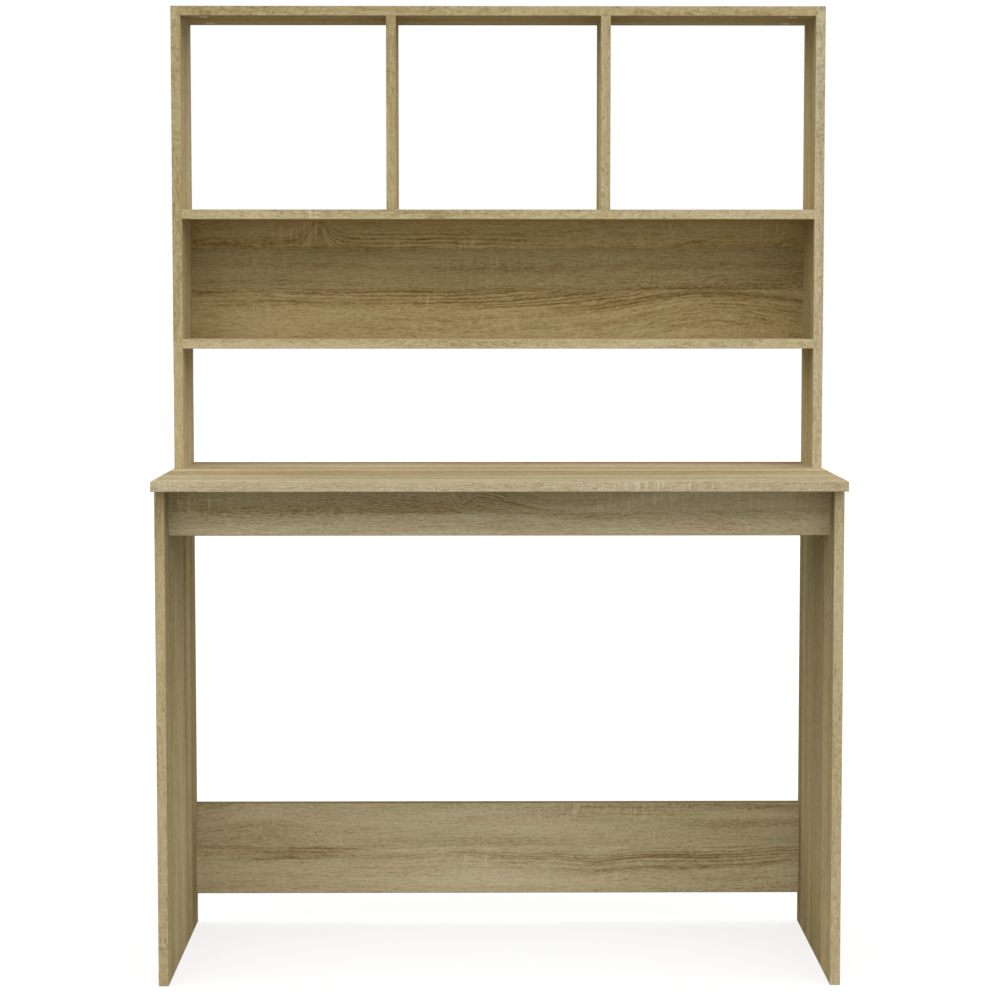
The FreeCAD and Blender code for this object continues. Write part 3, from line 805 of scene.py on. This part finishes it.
floor_mesh = bpy.data.meshes.new("floor")
corner_signs = ((-1, -1), (1, -1), (1, 1), (-1, 1))
floor_corners = [(x * FLOOR_REACH, y * FLOOR_REACH, 0.0) for x, y in corner_signs]
floor_mesh.from_pydata(floor_corners, [], [(0, 1, 2, 3)])
floor = bpy.data.objects.new("floor", floor_mesh)
bpy.context.scene.collection.objects.link(floor)
floor_paint = bpy.data.materials.new("matt_floor_paint")
floor_paint.use_nodes = True
tree = floor_paint.node_tree
tree.nodes.clear()
seen = seen_as_backdrop(tree)
paint_colour = add(tree, "ShaderNodeMix",
                   {"Factor": seen, COLOUR_A: linear(FLOOR_GREY), COLOUR_B: linear(WHITE)},
                   data_type="RGBA")
paint = add(tree, "ShaderNodeBsdfDiffuse", {"Color": paint_colour.outputs[COLOUR_RESULT]})
glow = add(tree, "ShaderNodeEmission", {"Color": linear(WHITE), "Strength": WHITE_GLOW})
glow_share = add(tree, "ShaderNodeMath", {0: seen, 1: GLOW_SHARE}, operation="MULTIPLY")
mixed = add(tree, "ShaderNodeMixShader", {0: glow_share, 1: paint, 2: glow})
add(tree, "ShaderNodeOutputMaterial", {"Surface": mixed})
floor_mesh.materials.append(floor_paint)
print("floor", 2 * FLOOR_REACH, "m wide")

# %% [markdown]
# The light is one big soft dome, as in a tent of white cloth: brighter overhead than at the horizon,
# and brighter from the front and the sides than from behind. So shadows are soft, and deep under the
# shelves. Large lamps could do the same, but a formula for the whole dome has no lamps to place. The
# camera sees the dome as white.

# %% Dome of light
DOME_LEVEL = 0.9
DOME_LOW = 0.1
DOME_RISE = 1.45
DOME_FULL_HEIGHT = 0.5
DOME_FRONT = 0.4
DOME_SIDE = 0.6
world = bpy.data.worlds.new("light_tent")
bpy.context.scene.world = world
world.use_nodes = True
tree = world.node_tree
tree.nodes.clear()
direction = add(tree, "ShaderNodeTexCoord").outputs["Generated"]
towards = add(tree, "ShaderNodeSeparateXYZ", {0: direction}).outputs
height = add(tree, "ShaderNodeMapRange", {
    "Value": towards["Z"], "From Min": 0.0, "From Max": DOME_FULL_HEIGHT, "To Min": DOME_LOW,
    "To Max": DOME_LOW + DOME_RISE}, interpolation_type="SMOOTHSTEP")
tent = add(tree, "ShaderNodeMath", {0: towards["Y"], 1: -DOME_FRONT, 2: height}, operation="MULTIPLY_ADD")
sideways = add(tree, "ShaderNodeMath", {0: towards["X"]}, operation="ABSOLUTE")
tent = add(tree, "ShaderNodeMath", {0: sideways, 1: DOME_SIDE, 2: tent}, operation="MULTIPLY_ADD")
tent = add(tree, "ShaderNodeMath", {0: tent, 1: 0.0}, operation="MAXIMUM")
tent = add(tree, "ShaderNodeMath", {0: tent, 1: DOME_LEVEL}, operation="MULTIPLY")
dome = add(tree, "ShaderNodeBackground", {"Color": linear(WHITE), "Strength": tent})
backdrop = add(tree, "ShaderNodeBackground", {"Color": linear(WHITE), "Strength": WHITE_GLOW})
mixed = add(tree, "ShaderNodeMixShader", {0: seen_as_backdrop(tree), 1: dome, 2: backdrop})
add(tree, "ShaderNodeOutputWorld", {"Surface": mixed})
bpy.context.scene.view_settings.view_transform = "Standard"
horizon = round(DOME_LEVEL * DOME_LOW, 3)
overhead = round(DOME_LEVEL * (DOME_LOW + DOME_RISE), 3)
print("by height alone, the dome is", horizon, "at the horizon and", overhead, "overhead")

# %% [markdown]
# The desk is seen from the front, from almost 4 m away and a little above the writing surface, through
# a lens of 93 mm. The camera looks down by about 4 degrees. A very small lens shift, as on a view
# camera, does the rest of the framing.

# %% Camera
# The place in metres, the two turns in radians, lens and sensor in mm, the shift as a share of the frame
CAMERA_PLACE = (-0.02937, -3.98286, 1.03037)
CAMERA_YAW = 0.00785
CAMERA_PITCH = 0.07313
CAMERA_LENS = 93.0
CAMERA_SENSOR = 36.0
CAMERA_SHIFT = -0.015
camera_data = bpy.data.cameras.new("front_camera")
camera_data.sensor_width = CAMERA_SENSOR
camera_data.lens = CAMERA_LENS
camera_data.shift_y = CAMERA_SHIFT
camera = bpy.data.objects.new("front_camera", camera_data)
camera.location = CAMERA_PLACE
ahead = Vector((math.sin(CAMERA_YAW), math.cos(CAMERA_YAW), -math.tan(CAMERA_PITCH)))
camera.rotation_mode = "QUATERNION"
camera.rotation_quaternion = ahead.to_track_quat("-Z", "Y")
bpy.context.scene.collection.objects.link(camera)
bpy.context.scene.camera = camera
print("camera looks along", [round(x, 3) for x in ahead.normalized()])
